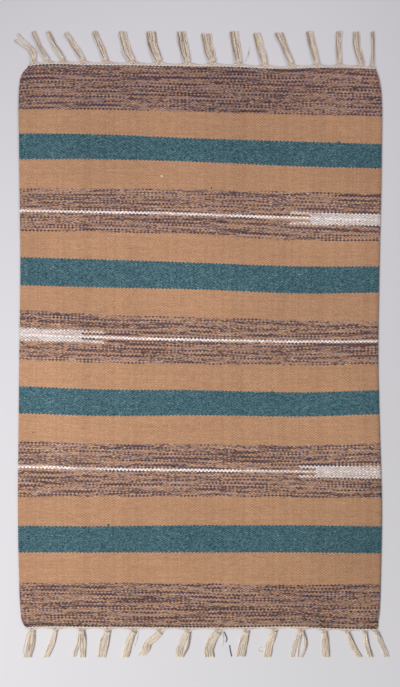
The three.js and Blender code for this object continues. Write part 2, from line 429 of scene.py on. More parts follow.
def woven_slab(builder, lattice, rim, first_pick, top_map, under_map):
    """A closed slab whose top is a lattice of floats: x, y and height, with a row for each pick from
    the upper end down and a column for each warp. rim is the rim's x, y and height beside each
    point of the lattice's border, once round from its first corner."""
    rows, columns, _ = lattice.shape
    index = np.arange(rows * columns).reshape(rows, columns)
    around = np.concatenate((
        index[0, :], index[1:, -1], index[-1, -2::-1], index[-2:0:-1, 0]))
    row_of, column_of = np.divmod(around, columns)
    out_x = (column_of == columns - 1).astype(float) - (column_of == 0)
    out_y = (row_of == 0).astype(float) - (row_of == rows - 1)
    under = rim - np.stack((RIM_INSET * out_x, RIM_INSET * out_y, rim[:, 2]), -1)
    top = lattice.reshape(-1, 3)
    weave_u, weave_v = np.meshgrid(np.arange(columns) + 0.5, first_pick + np.arange(rows) + 0.5)
    weave = np.stack((weave_u, weave_v), -1).reshape(-1, 2)
    rim_weave = weave[around] + np.stack((0.5 * out_x, -0.5 * out_y), -1)
    at_top = builder.add_points(top)
    at_rim = builder.add_points(rim)
    at_under = builder.add_points(under)

    # The top: each square is cut from trough to trough, so that each float is a dome
    a, b = index[:-1, :-1], index[:-1, 1:]
    d, c = index[1:, :-1], index[1:, 1:]
    row, column = np.indices(a.shape)
    crown = ((row + first_pick + column) % 2 == 0)[..., None]
    one = np.where(crown, np.stack((a, d, b), -1), np.stack((a, d, c), -1)).reshape(-1, 3)
    two = np.where(crown, np.stack((b, d, c), -1), np.stack((a, c, b), -1)).reshape(-1, 3)
    for faces in (one, two):
        builder.add_faces(at_top + faces, weave[faces], top_map(top[faces]))

    # The rim: one strip down to its middle, and one from there in to the underside
    here = np.arange(len(around))
    on = np.roll(here, -1)
    builder.add_faces(
        np.stack((at_top + around, at_top + around[on], at_rim + on, at_rim + here), -1),
        np.stack((weave[around], weave[around[on]], rim_weave[on], rim_weave), 1),
        top_map(np.stack((top[around], top[around[on]], rim[on], rim), 1)))
    builder.add_faces(
        np.stack((at_rim + here, at_rim + on, at_under + on, at_under + here), -1),
        np.stack((rim_weave, rim_weave[on], rim_weave[on], rim_weave), 1),
        under_map(np.stack((rim, rim[on], under[on], under), 1)))

    # The underside: one face, or its two ends and a strip from side to side for each pick between
    right = columns - 1 + np.arange(rows)
    left = (len(around) - np.arange(rows)) % len(around)
    groups = [here[None]]
    if rows > 2:
        strips = np.stack((left[1:-2], right[1:-2], right[2:-1], left[2:-1]), -1)
        upper = np.concatenate((here[:columns], [right[1], left[1]]))
        lower = np.concatenate(([left[-2], right[-2]], here[right[-1]:left[-1] + 1]))
        groups = [strips, upper[None], lower[None]]
    for faces in groups:
        builder.add_faces(
            at_under + faces, rim_weave[faces], under_map(under[faces]), flat=True)


def plan_map(box, place):
    """The bake map of a slab's plan: a box of it goes to a place on the map"""
    low, high = np.array(box)
    place_low, place_high = np.array(place)
    return lambda points: lerp(place_low, place_high, (points[..., :2] - low) / (high - low))


def ring_faces(values):
    """The four corners of each face of a tube, from values at its rings' points"""
    return np.stack((values[:-1, :-1], values[1:, :-1], values[1:, 1:], values[:-1, 1:]), 2)


def tube(builder, path, radius, across, up, strand, along, place):
    """A closed tube round a path. across and up are its rings' axes, strand numbers it for its
    material, along is its length up to each ring, and place is its box on the bake map."""
    rings = len(path)
    sides = CORD_SIDES
    angle = 2 * math.pi * np.arange(sides) / sides
    points = path[:, None] + radius * (
        np.cos(angle)[:, None] * across[:, None] + np.sin(angle)[:, None] * up[:, None])
    start = builder.add_points(points)
    index = np.arange(rings * sides).reshape(rings, sides)
    index = np.concatenate((index, index[:, :1]), 1)
    turn, ring = np.meshgrid(np.arange(sides + 1) / sides, np.arange(rings))
    low_u, low_v, high_u, high_v = place
    bake = np.stack((
        lerp(low_u, high_u, 0.05 + 0.9 * turn),
        lerp(low_v, high_v, 0.04 + 0.92 * ring / (rings - 1))), -1)
    yarn = np.stack((strand + 0.02 + 0.96 * turn, along[ring]), -1)
    builder.add_faces(
        start + ring_faces(index).reshape(-1, 4), ring_faces(yarn).reshape(-1, 4, 2),
        ring_faces(bake).reshape(-1, 4, 2))
    for end, level in ((0, 0.01), (rings - 1, 0.99)):
        order = np.arange(sides) if end == 0 else np.arange(sides)[::-1]
        cap = np.stack((
            lerp(low_u, high_u, 0.5 + 0.3 * np.cos(angle[order])),
            lerp(low_v, high_v, level + 0.008 * np.sin(angle[order]))), -1)
        builder.add_faces(
            (start + end * sides + order)[None], yarn[end, order][None], cap[None])


def cord(builder, path, diameter, strand, place, twist=CORD_TWIST, reference=(0, 0, 1)):
    """A cord of two plies that are twisted round each other along a path"""
    steps = np.linalg.norm(np.diff(path, axis=0), axis=1)
    along = np.concatenate(([0], np.cumsum(steps)))
    tangent = np.gradient(path, axis=0)
    tangent /= np.linalg.norm(tangent, axis=1)[:, None]
    across = np.cross(tangent, np.broadcast_to(reference, tangent.shape))
    across /= np.linalg.norm(across, axis=1)[:, None]
    up = np.cross(across, tangent)
    turn = 2 * math.pi * along / twist + 1.7 * strand
    aside = PLY_OFFSET * diameter * (np.cos(turn)[:, None] * across + np.sin(turn)[:, None] * up)
    low_u, low_v, high_u, high_v = place
    middle = 0.5 * (low_u + high_u)
    halves = ((1, (low_u, low_v, middle, high_v)), (-1, (middle, low_v, high_u, high_v)))
    for sign, half in halves:
        tube(builder, path + sign * aside, PLY_RADIUS * diameter, across, up,
             2 * strand + (sign < 0), along, half)


def cells(count, columns, place):
    """Boxes side by side in rows, within a place on the bake map"""
    (low_u, low_v), (high_u, high_v) = place
    width = (high_u - low_u) / columns
    height = (high_v - low_v) / math.ceil(count / columns)
    corners = [
        (low_u + width * (i % columns), low_v + height * (i // columns)) for i in range(count)]
    return [(u, v, u + width, v + height) for u, v in corners]


# The field

def pick_places():
    """x and y of each float of the cloth, and its last picks' lines"""
    share = (np.arange(WARPS) + 0.5) / WARPS

    def line(places, levels):
        y = np.full(WARPS, float(np.mean(levels)))
        for _ in range(3):
            y = curve(places, levels, lerp(left_selvedge(y), right_selvedge(y), share))
        return y

    lines = [line(*UPPER_END)]
    lines += [line(STRIPE_COLUMNS, edge) for _, _, edge in STRIPES[:-1]]
    lines.append(line(*LOWER_END))
    rows = []
    for (_, picks, _), above, below in zip(STRIPES, lines, lines[1:]):
        rows += [lerp(above, below, (pick + 0.5) / picks) for pick in range(picks)]
    y = np.array(rows)
    x = lerp(left_selvedge(y), right_selvedge(y), share)
    return x, y, lines[0], lines[-1]


FLOAT_X, FLOAT_Y, UPPER_LINE, LOWER_LINE = pick_places()
CROWN = (np.indices(FLOAT_X.shape).sum(axis=0) % 2 == 0)


def teeth(pick):
    """How far the floats of the first or the last pick stand past its line"""
    return TOOTH * np.where(CROWN[pick], 1, -1)


def field_piece(material):
    x, y = FLOAT_X, FLOAT_Y.copy()
    phase = RANDOM.uniform(0, 2 * math.pi, (2, PICKS, 1))
    wander = np.sin(x / 23 + phase[0]) + np.sin(x / 9 + phase[1])
    y[1:-1] += (PICK_WANDER * wander)[1:-1]
    thickness = CLOTH_THICKNESS + swell(x, y)
    plump = RANDOM.uniform(-1, 1, x.shape)
    top = thickness - np.where(CROWN, 0, WEAVE_RELIEF) + FLOAT_UNEVENNESS * plump
    top[:, (0, -1)] -= EDGE_DROP
    top[(0, -1), :] -= EDGE_DROP
    lattice = np.stack((x, y, top), -1)

    # The rim: the picks turn round the outermost warps, and the last picks show their floats
    turned = SELVEDGE_TURN * np.where(np.arange(PICKS) % 2 == 0, 1, -1)
    left = left_selvedge(y[:, 0]) + turned
    right = right_selvedge(y[:, -1]) + turned
    rim_x = np.concatenate((x[0, :], right[1:], x[-1, -2::-1], left[-2:0:-1]))
    rim_x[0] = left[0]
    rim_x[WARPS - 1] = right[0]
    rim_x[2 * WARPS + PICKS - 3] = left[-1]
    rim_y = np.concatenate((
        UPPER_LINE + teeth(0), y[1:, -1], (LOWER_LINE - teeth(-1))[-2::-1], y[-2:0:-1, 0]))
    rim_y[WARPS + PICKS - 2] = LOWER_LINE[-1]
    half = 0.5 * (CLOTH_THICKNESS + swell(rim_x, rim_y))
    rim = np.stack((rim_x, rim_y, half), -1)

    box = ((-MAP_HALF_WIDTH, -MAP_HALF_LENGTH), (MAP_HALF_WIDTH, MAP_HALF_LENGTH))
    builder = MeshBuilder()
    woven_slab(
        builder, lattice, rim, 0, plan_map(box, FIELD_FACE), plan_map(box, FIELD_UNDERSIDE))
    return builder.build("field_cloth", material)


# The headings and the tassels

class Tassel:
    """A tassel's knot, with its start, way and width, and its middle line from root to tip"""

    def __init__(self, end, number, root, middle_x, tip_x, width, split, short):
        least, most, share = KNOT_WIDTHS
        reach = PIECE_GAP + HEADING_WIDTH + GATHER_WIDTH + PIECE_GAP
        start_y = end.last_pick(root) + end.outward * reach
        self.name = "%s_%02d" % (end.name, number + 1)
        self.width = width
        self.knot_width = min(max(width * share, least), most)
        self.tip_y = end.trim - end.outward * short
        middle_y = 0.5 * (start_y + self.tip_y)
        way = np.array((middle_x - root, middle_y - start_y))
        way /= np.linalg.norm(way)
        start_y += end.outward * 0.5 * KNOT_TURNS[0] * self.knot_width * abs(way[0])
        self.start = np.array((root, start_y))
        self.way = way
        self.across = np.array((way[1], -way[0]))
        self.root = self.start + KNOT_LENGTH * 0.3 * way
        self.line_x = (self.root[0], middle_x, tip_x)
        self.line_y = (self.root[1], middle_y, self.tip_y)
        self.locks = LOCKS.get(self.name, ((0.5, -0.5 * split, 0, 0), (1, 0.5 * split, 0, 0)))
        self.bends = BENDS.get(self.name, (0, 0))


class RugEnd:
    """One end of the rug: outward is the way from the cloth to the fringe along Y"""

    def __init__(self, name, outward, line, tassels, trim):
        self.name = name
        self.outward = outward
        self.line = line
        self.pick = 0 if outward > 0 else -1
        self.columns = FLOAT_X[self.pick]
        self.trim = trim
        self.tassels = [Tassel(self, number, *row) for number, row in enumerate(tassels)]
        roots = np.array([row[0] for row in tassels])
        self.nearest = np.argmin(np.abs(self.columns[:, None] - roots), axis=1)

    def last_pick(self, x):
        return np.interp(x, self.columns, self.line)


def heading_picks(end, builder):
    """The two pale picks of a heading, as a narrow slab along the end of the cloth"""
    out = end.outward
    tooth = teeth(end.pick)
    inner = end.line + out * (tooth + PIECE_GAP)
    near, far, outer = (
        end.line + out * (PIECE_GAP + reach + share * tooth) for reach, share in HEADING_REACHES)
    x = end.columns.copy()
    x[0] += HEADING_INSET
    x[-1] -= HEADING_INSET
    top_near = HEADING_THICKNESS - HEADING_DROPS[0] - np.where(tooth < 0, 0, HEADING_RELIEF)
    top_far = HEADING_THICKNESS - HEADING_DROPS[1] - np.where(tooth < 0, HEADING_RELIEF, 0)
    rows = [np.stack((x, far, top_far), -1), np.stack((x, near, top_near), -1)]
    edges = [outer, inner]
    first_pick = -len(rows)
    if out < 0:
        rows.reverse()
        edges.reverse()
        first_pick = PICKS
    rim_x = np.concatenate((x, x[::-1]))
    rim_x[[0, -1]] -= HEADING_RIM
    rim_x[[WARPS - 1, WARPS]] += HEADING_RIM
    rim_y = np.concatenate((edges[0], edges[1][::-1]))
    rim = np.stack((rim_x, rim_y, np.full(2 * WARPS, 0.5 * HEADING_THICKNESS)), -1)
    box = ((-MAP_HALF_WIDTH, rim_y.min() - 0.5), (MAP_HALF_WIDTH, rim_y.max() + 0.5))
    woven_slab(
        builder, np.stack(rows), rim, first_pick, plan_map(box, HEADING_FACE),
        plan_map(box, HEADING_UNDERSIDE))


def gathered_ends(end, builder):
    """The warp ends that gather from a heading's picks to the knots, on curves of four corners"""
    out = end.outward
    places = cells(WARPS, 20, HEADING_CORDS)
    steps = np.linspace(0, 1, HEADING_STEPS)[:, None]
    for warp in range(WARPS):
        tassel = end.tassels[end.nearest[warp]]
        start = tassel.start
        own = np.flatnonzero(end.nearest == end.nearest[warp])
        rank = warp - own[0]
        aside = ((rank + 0.5) / len(own) - 0.5) * tassel.knot_width * 0.72
        from_x = end.columns[warp]
        from_y = end.line[warp]
        gap = start[0] - from_x
        to_y = end.last_pick(start[0])
        reach = out * (start[1] - to_y)
        wild = RANDOM.uniform(-0.3, 0.3, 3)
        height = 1.0 + 0.75 * (warp % 3)
        band = 3.5 + 0.5 * (warp % 2)
        corner = np.array((
            (from_x - math.copysign(2, gap), from_y + out * 3.2, 1.5),
            (from_x + 0.3 * gap, from_y + out * (band + 0.4 + wild[0]), height),
            (start[0] - 0.04 * gap, to_y + out * (band + wild[1]), height + 0.4),
            (start[0] + aside, to_y + out * (reach + 0.7), 3 + wild[2] * 3),
        ))
        path = (
            (1 - steps) ** 3 * corner[0] + 3 * (1 - steps) ** 2 * steps * corner[1]
            + 3 * (1 - steps) * steps ** 2 * corner[2] + steps ** 3 * corner[3])
        cord(builder, path, GATHERED_DIAMETER, GATHERED_STRAND + warp, places[warp])


def heading_piece(end, picks_finish, yarn):
    builder = MeshBuilder()
    heading_picks(end, builder)
    builder.finish_now = 1
    gathered_ends(end, builder)
    return builder.build("heading_" + end.name + "_yarn", picks_finish, yarn)


def tassel_spots(count, columns):
    """Where the cords of a tassel lie: their share of its width from its middle, and their layer"""
    spots = []
    layer = 0
    while len(spots) < count:
        room = max(columns - layer, 2)
        fits = min(room, count - len(spots))
        width = 1 - layer / columns
        spots += [(width * ((i + 0.5) / fits - 0.5), layer) for i in range(fits)]
        layer += 1
    return spots


def tie_knot(builder, tassel, strand, places):
    """A few turns of cord round the root of a tassel"""
    angle = np.linspace(*KNOT_SWEEP, KNOT_STEPS) * 2 * math.pi
    along = np.linspace(0, 1, KNOT_STEPS)
    tuck = smoothstep(np.minimum(along, 1 - along), -0.1, 0.15)
    for turn in range(KNOT_CORDS):
        at = (KNOT_FIRST + KNOT_CORD_PITCH * turn + KNOT_LEAN * angle / (2 * math.pi)
              + KNOT_BOW * np.cos(angle))
        size = np.interp(at, np.linspace(0, KNOT_LENGTH, 4), KNOT_TURNS)
        half_width = (0.5 * tassel.knot_width * size - KNOT_INSET) * tuck
        half_height = (0.5 * KNOT_HEIGHT * size - KNOT_INSET) * tuck
        plan = (tassel.start + at[:, None] * tassel.way
                + (half_width * np.cos(angle))[:, None] * tassel.across)
        height = 0.15 + 0.5 * KNOT_HEIGHT * size + half_height * np.sin(angle)
        cord(builder, np.column_stack((plan, height)), KNOT_CORD_DIAMETER, strand + turn,
             places[turn], reference=(*tassel.way, 0))


def warp_end_path(end, tassel, share, layer, layers, wild):
    """The path of one warp end from the knot to its tip: share is its place across the tassel"""
    for limit, tip_aside, bow, cut_back in tassel.locks:
        if share + 0.5 <= limit:
            break
    out = end.outward
    short_by = cut_back + TIP_WANDER * (1 + wild[0]) * (0.5 if layer == 0 else 1)
    y = np.linspace(tassel.root[1], tassel.tip_y - out * short_by, TASSEL_STEPS)
    at = np.linspace(0, 1, TASSEL_STEPS)
    order = slice(None, None, out)
    x = curve(tassel.line_y[order], tassel.line_x[order], y)
    x = x + curve((0, 0.25, 0.5, 0.75, 1), (0, tassel.bends[0], 0, tassel.bends[1], 0), at)
    slope = np.gradient(x) / np.gradient(y)
    lean = 1 / np.sqrt(1 + slope * slope)
    span = lerp(
        KNOT_TURNS[-1] * tassel.knot_width - 1.4, TIP_SPREAD * tassel.width, smoothstep(at, 0, 0.4))
    parted = tip_aside * smoothstep(at, 0.4, 1) + bow * np.sin(math.pi * at)
    wave = WARP_WANDER * smoothstep(at, 0.1, 0.6) * (
        np.sin(at * (4 + wild[1]) + 3 * wild[2]) + 0.6 * np.sin(at * 11 + 6 * wild[3]))
    aside = share * span + parted + wave + 0.5 * wild[4] * smoothstep(at, 0.7, 1)
    trimmed = y[-1]
    x = x + aside * lean
    y = y - aside * slope * lean
    y = lerp(y[0], trimmed, (y - y[0]) / (y[-1] - y[0]))
    low = LOWEST_MIDDLE + LAYER_HEIGHT * layer
    gathered = 1.5 + 2.9 * (layer + 0.5) / layers
    z = lerp(gathered, low, smoothstep(at, 0.12, 0.45)) + 0.2 * wild[5] * (layer > 0)
    return np.stack((x, y, np.maximum(z, LOWEST_MIDDLE)), -1)


def tassel_piece(end, number, material):
    """A knot of a few turns of cord, the warp ends that fan out from it, and the stray threads"""
    tassel = end.tassels[number]
    count = max(np.count_nonzero(end.nearest == number), 4)
    strays = STRAYS.get(tassel.name, ())
    places = cells(count + KNOT_CORDS + len(strays), 6, TASSEL_CORDS)
    builder = MeshBuilder()
    first_strand = 12 * number + 400 * (end.outward > 0)
    tie_knot(builder, tassel, KNOT_STRAND + KNOT_CORDS * number, places[count:])

    spots = tassel_spots(count, int(min(max(round(tassel.width / CORD_PITCH), 3), count)))
    layers = 1 + max(layer for _, layer in spots)
    for i, (share, layer) in enumerate(spots):
        wild = RANDOM.uniform(-1, 1, 7)
        path = warp_end_path(end, tassel, share, layer, layers, wild)
        strand = first_strand + i
        # Ends along the tassel's shaded side get the darker colour as painted shade; a few ends
        # inside an upper tassel are brown yarn
        inside = end.name == "top" and (7 * i + 4 * number) % BROWN_EVERY == 0
        if share / PAINTED_SHADE_EDGE[end.name] > 1 or inside:
            strand = BROWN_AND_PAINTED_SHADE_STRAND + BROWN_AND_PAINTED_SHADE_KINDS * number + i % BROWN_AND_PAINTED_SHADE_KINDS
        cord(builder, path, CORD_DIAMETER, strand, places[i],
             twist=CORD_TWIST * (1 + 0.15 * wild[6]))

    at = np.linspace(0, 1, STRAY_STEPS)
    for i, (colour, line) in enumerate(strays):
        line = np.array(line, float)
        stops = np.linspace(0, 1, len(line))
        diameter = STRAY_DIAMETERS[colour]
        path = np.stack((
            curve(stops, line[:, 0], at), curve(stops, line[:, 1], at),
            np.full(STRAY_STEPS, 0.55 * diameter)), -1)
        strand = DARK_STRAND if colour == "dark" else first_strand + count + KNOT_CORDS
        cord(builder, path, diameter, strand + i, places[count + KNOT_CORDS + i])
    return builder.build("tassel_" + tassel.name + "_yarn", material)


# Materials. Shades are colours on a picture's scale of 0 to 255.

DARK_SHADES = (
    (0, (58, 56, 80)), (0.22, (107, 68, 62)), (0.42, (80, 82, 100)),
    (0.56, (114, 84, 62)), (0.76, (96, 78, 98)), (0.88, (62, 52, 52)),
)
LIGHT_SHADES = (
    (0, (192, 150, 120)), (0.22, (202, 162, 134)), (0.36, (192, 148, 132)),
    (0.5, (168, 142, 114)), (0.64, (166, 144, 144)), (0.74, (196, 144, 108)),
    (0.84, (208, 182, 158)), (0.9, (156, 122, 106)),
)
TAN_SHADES = ((0, (184, 139, 105)), (1, (201, 157, 123)))
TEAL_SHADES = ((0, (30, 72, 84)), (1, (98, 131, 139)))
WHITE_SHADES = ((0, (218, 210, 206)), (1, (242, 236, 233)))
HEADING_SHADES = ((0, (224, 218, 206)), (1, (242, 238, 228)))
YARN_SHADES = ((0, (230, 210, 187)), (0.3, (243, 228, 207)), (1, (253, 245, 231)))
FLOOR_SHADES = ((0, (215, 214, 217)), (1, (219, 218, 221)))

# The melange's tint between the outermost stripes, in the lower one and in the upper one
MELANGE_TINT = (146, 116, 102)
LOWER_TINT = (118, 88, 80)
UPPER_TINT = (120, 94, 116)
TEAL_SPECK = (140, 160, 152)
# Between white floats: the brown yarn beneath, with painted shade of the dips
WHITE_GAP_BROWN_AND_PAINTED_SHADE = (178, 140, 120)
BROWN_LENGTH = (164, 130, 108)
# The darker warp ends: painted shade along a tassel's shaded side, and brown yarn for the few ends
# inside
BROWN_AND_PAINTED_SHADE_END = (140, 108, 92)
GATHERED_TINT = (234, 196, 176)
DARK_THREAD = (70, 62, 80)

# Small marks in the cloth: the middle in x and y, half the width and height, and the colour
MARKS = (
    ((-64.3, 283.5), (1.9, 1.7), (236, 226, 206)),
    ((-73.6, 212.4), (2.3, 1.7), (38, 30, 32)),
    ((18.4, 263.6), (1, 2.1), (70, 50, 50)),
    ((-277.7, -142.6), (1, 1.8), (110, 80, 62)),
    ((-152.7, -296.2), (2.4, 2.1), (60, 92, 102)),
    ((230.5, 339.9), (2, 2.1), (60, 92, 102)),
    ((119.8, -75.6), (3.4, 1.8), (60, 92, 102)),
    ((164.7, 120), (1.3, 1.3), (190, 205, 205)),
    ((169.9, 307.8), (1.1, 1.1), (150, 172, 130)),
    ((299.5, -246.5), (1, 5), (64, 54, 62)),
)


def tone(shade):
    """A shade as the linear colour that shaders take"""
    shares = [value / 255 for value in shade]
    return tuple(
        share / 12.92 if share < 0.04 else ((share + 0.055) / 1.055) ** 2.4
        for share in shares) + (1,)


class Value:
    """A value in a shader: arithmetic and comparisons make more nodes"""

    def __init__(self, shader, socket):
        self.shader = shader
        self.socket = socket

    def __add__(self, other):
        return self.shader.math("ADD", self, other)

    def __sub__(self, other):
        return self.shader.math("SUBTRACT", self, other)

    def __rsub__(self, other):
        return self.shader.math("SUBTRACT", other, self)

    def __mul__(self, other):
        return self.shader.math("MULTIPLY", self, other)

    def __mod__(self, other):
        return self.shader.math("FLOORED_MODULO", self, other)

    def __gt__(self, other):
        return self.shader.math("GREATER_THAN", self, other)

    def floor(self):
        return self.shader.math("FLOOR", self)


class Shader:
    """A material and short ways to write its nodes"""

    def __init__(self, name, roughness, sheen):
        self.material = bpy.data.materials.new(name)
        self.material.use_nodes = True
        self.tree = self.material.node_tree
        self.surface = self.tree.nodes["Principled BSDF"].inputs
        for setting, value in (
                ("Roughness", roughness), ("Specular IOR Level", 0.12), ("Sheen Weight", sheen),
                ("Sheen Roughness", 0.6)):
            self.surface[setting].default_value = value

    def join(self, value, socket):
        if isinstance(value, Value):
            self.tree.links.new(value.socket, socket)
        else:
            socket.default_value = value

    def node(self, kind, inputs, output=0, **settings):
        """A new node with its inputs, by their numbers or names, and one of its outputs"""
        made = self.tree.nodes.new("ShaderNode" + kind)
        for name, setting in settings.items():
            setattr(made, name, setting)
        for name, value in inputs.items():
            self.join(value, made.inputs[name])
        return Value(self, made.outputs[output])

    def parts(self, vector):
        split = self.node("SeparateXYZ", {0: vector}).socket.node
        return [Value(self, socket) for socket in split.outputs]

    def math(self, operation, *values):
        return self.node("Math", dict(enumerate(values)), operation=operation)

    def noise(self, x, y, detail=1):
        place = self.node("CombineXYZ", {0: x, 1: y})
        inputs = {"Vector": place, "Scale": 1, "Detail": detail}
        return self.node("TexNoise", inputs, noise_dimensions="2D")

    def chance(self, x, y):
        """A random value that changes with either number"""
        place = self.node("CombineXYZ", {0: x, 1: y})
        return self.node("TexWhiteNoise", {"Vector": place}, noise_dimensions="2D")

    def ramp(self, at, stops, kind="LINEAR"):
        result = self.node("ValToRGB", {0: at})
        band = result.socket.node.color_ramp
        band.interpolation = kind
        while len(band.elements) < len(stops):
            band.elements.new(1)
        for element, (position, shade) in zip(band.elements, stops):
            element.position = position
            element.color = tone(shade)
        return result

    def stair(self, at, stops):
        """Three values that change where at reaches each whole number in stops, exactly, where a
        colour ramp would keep only 256 places"""
        level = result = stops[0][1]
        for place, values in stops[1:]:
            rise = tuple(new - old for new, old in zip(values, level))
            result = self.node(
                "VectorMath", {0: at > place - 0.5, 1: rise, 2: result}, operation="MULTIPLY_ADD")
            level = values
        return self.parts(result)

    def step(self, at, start, end, low=0, high=1):
        inputs = dict(enumerate((at, start, end, low, high)))
        return self.node("MapRange", inputs, interpolation_type="SMOOTHSTEP")

    def mix(self, share, first, second):
        return self.node("Mix", {0: share, 6: first, 7: second}, output=2, data_type="RGBA")

    def finish(self, colour, value, height, depth):
        """The colour with its lightness scaled by value, and relief with a depth in metres"""
        colour = self.node("HueSaturation", {"Value": value, "Color": colour})
        bump = self.node("Bump", {"Distance": depth, "Strength": 1, "Height": height})
        self.join(colour, self.surface["Base Color"])
        self.join(bump, self.surface["Normal"])
        return self.material


Float = namedtuple("Float", "u v warp pick aside along dome")


def floats(shader):
    """The float at a place of the weave's map: the map's u and v, the float's warp and pick, the
    way from its middle across and along the warp, and its dome's height from 0 to 1"""
    u, v, _ = shader.parts(shader.node("UVMap", {}, uv_map="weave"))
    swing = shader.math("SINE", (shader.math("ROUND", u) + v) * math.pi)
    warp = (swing * FLOAT_SWING + u).floor()
    aside = u - warp - 0.5
    odd = warp % 2
    pick = ((v - odd + 0.5) * 0.5).floor() * 2 + odd
    along = v - pick - 0.5
    dome = shader.math("MAXIMUM", aside * aside * -1.7 + 1 + along * along * -0.9, 0)
    return Float(u, v, warp, pick, aside, along, shader.math("SQRT", dome))


def fibres(shader, across, along):
    """Fine fibres that lie along a yarn with a slight twist. Both places are in millimetres."""
    return shader.noise(across * 0.5 + along * 0.9, across * 4.2 + along * -1.9, 2)


def weft_fibres(shader, at):
    """The fibres of the picks, which run across the warps"""
    return fibres(shader, at.v * PICK_SPACING, at.u * WARP_SPACING)


def stripe_yarns(shader, pick):
    """Whether a pick is melange, teal or tan, and whether it is in one of the outermost stripes"""
    stops = []
    first = 0
    for yarn, picks, _ in STRIPES:
        stops.append((first, tuple(yarn == name for name in ("melange", "teal", "tan"))))
        first += picks
    from_middle = shader.math("ABSOLUTE", pick - 0.5 * PICKS)
    return (*shader.stair(pick, stops), from_middle > 0.5 * PICKS - STRIPES[0][1])


def white_floats(shader, centre, pick):
    """Whether a float is white, and whether its pick is white from side to side. The stair has how
    far in from the selvedge a pick is white, and 1 where that is the left selvedge."""
    stops = [(0, (0, 0, 0))]
    for number, side, body, fingers in WHITE_LINES:
        start = sum(picks for _, picks, _ in STRIPES[:number + 1]) - WHITE_BLOCK // 2
        left = 1 if side == "left" else 0
        for step, reach in enumerate((fingers, body, 2 * WARPS, body, fingers, 0)):
            stops.append((start + 2 * step, (reach / WARPS, left, 0)))
    reach, at_left, _ = shader.stair(pick, stops)
    share = shader.math("DIVIDE", centre, WARPS)
    from_side = at_left * (share * 2 - 1) + (1 - share)
    return reach > from_side, reach > 1.5


def melange_runs(shader, pick, run, own, whole_pick, single):
    """Where the melange is light and dark, as a value that is low where it is dark. Each yarn and
    each pick has a row of its own in the noise, and two picks side by side tend to differ."""
    long_runs = shader.noise(run * LONG_RUNS[1], own)
    short_runs = shader.noise(run * SHORT_RUNS[1], own + 300)
    pair = (pick * 0.5).floor()
    turned = (pick + pair) % 2 * -2 + 1
    in_pair = (shader.noise(run * PAIR_RUNS[1], pair * PAIR_CHANGE) - 0.5) * turned + 0.5
    runs = short_runs * SHORT_RUNS[0] + long_runs * LONG_RUNS[0] + whole_pick * PICK_RUNS[0]
    runs += in_pair * PAIR_RUNS[0] + single * SINGLE_FLOATS
    return runs - shader.step(shader.math("MINIMUM", pick + 1, PICKS - pick), 1, 3, 0.05, 0)


def marked(shader, colour, x, y):
    """The colour with the cloth's small marks on it"""
    for middle, half_size, shade in MARKS:
        across = x * (1 / (half_size[0] * MM)) - (middle[0] + SHIFT_X) / half_size[0]
        along = y * (1 / (half_size[1] * MM)) - (middle[1] + SHIFT_Y) / half_size[1]
        away = across * across + along * along
        colour = shader.mix(shader.step(away, 0.6, 1.2, 0.9, 0), colour, tone(shade))
    return colour


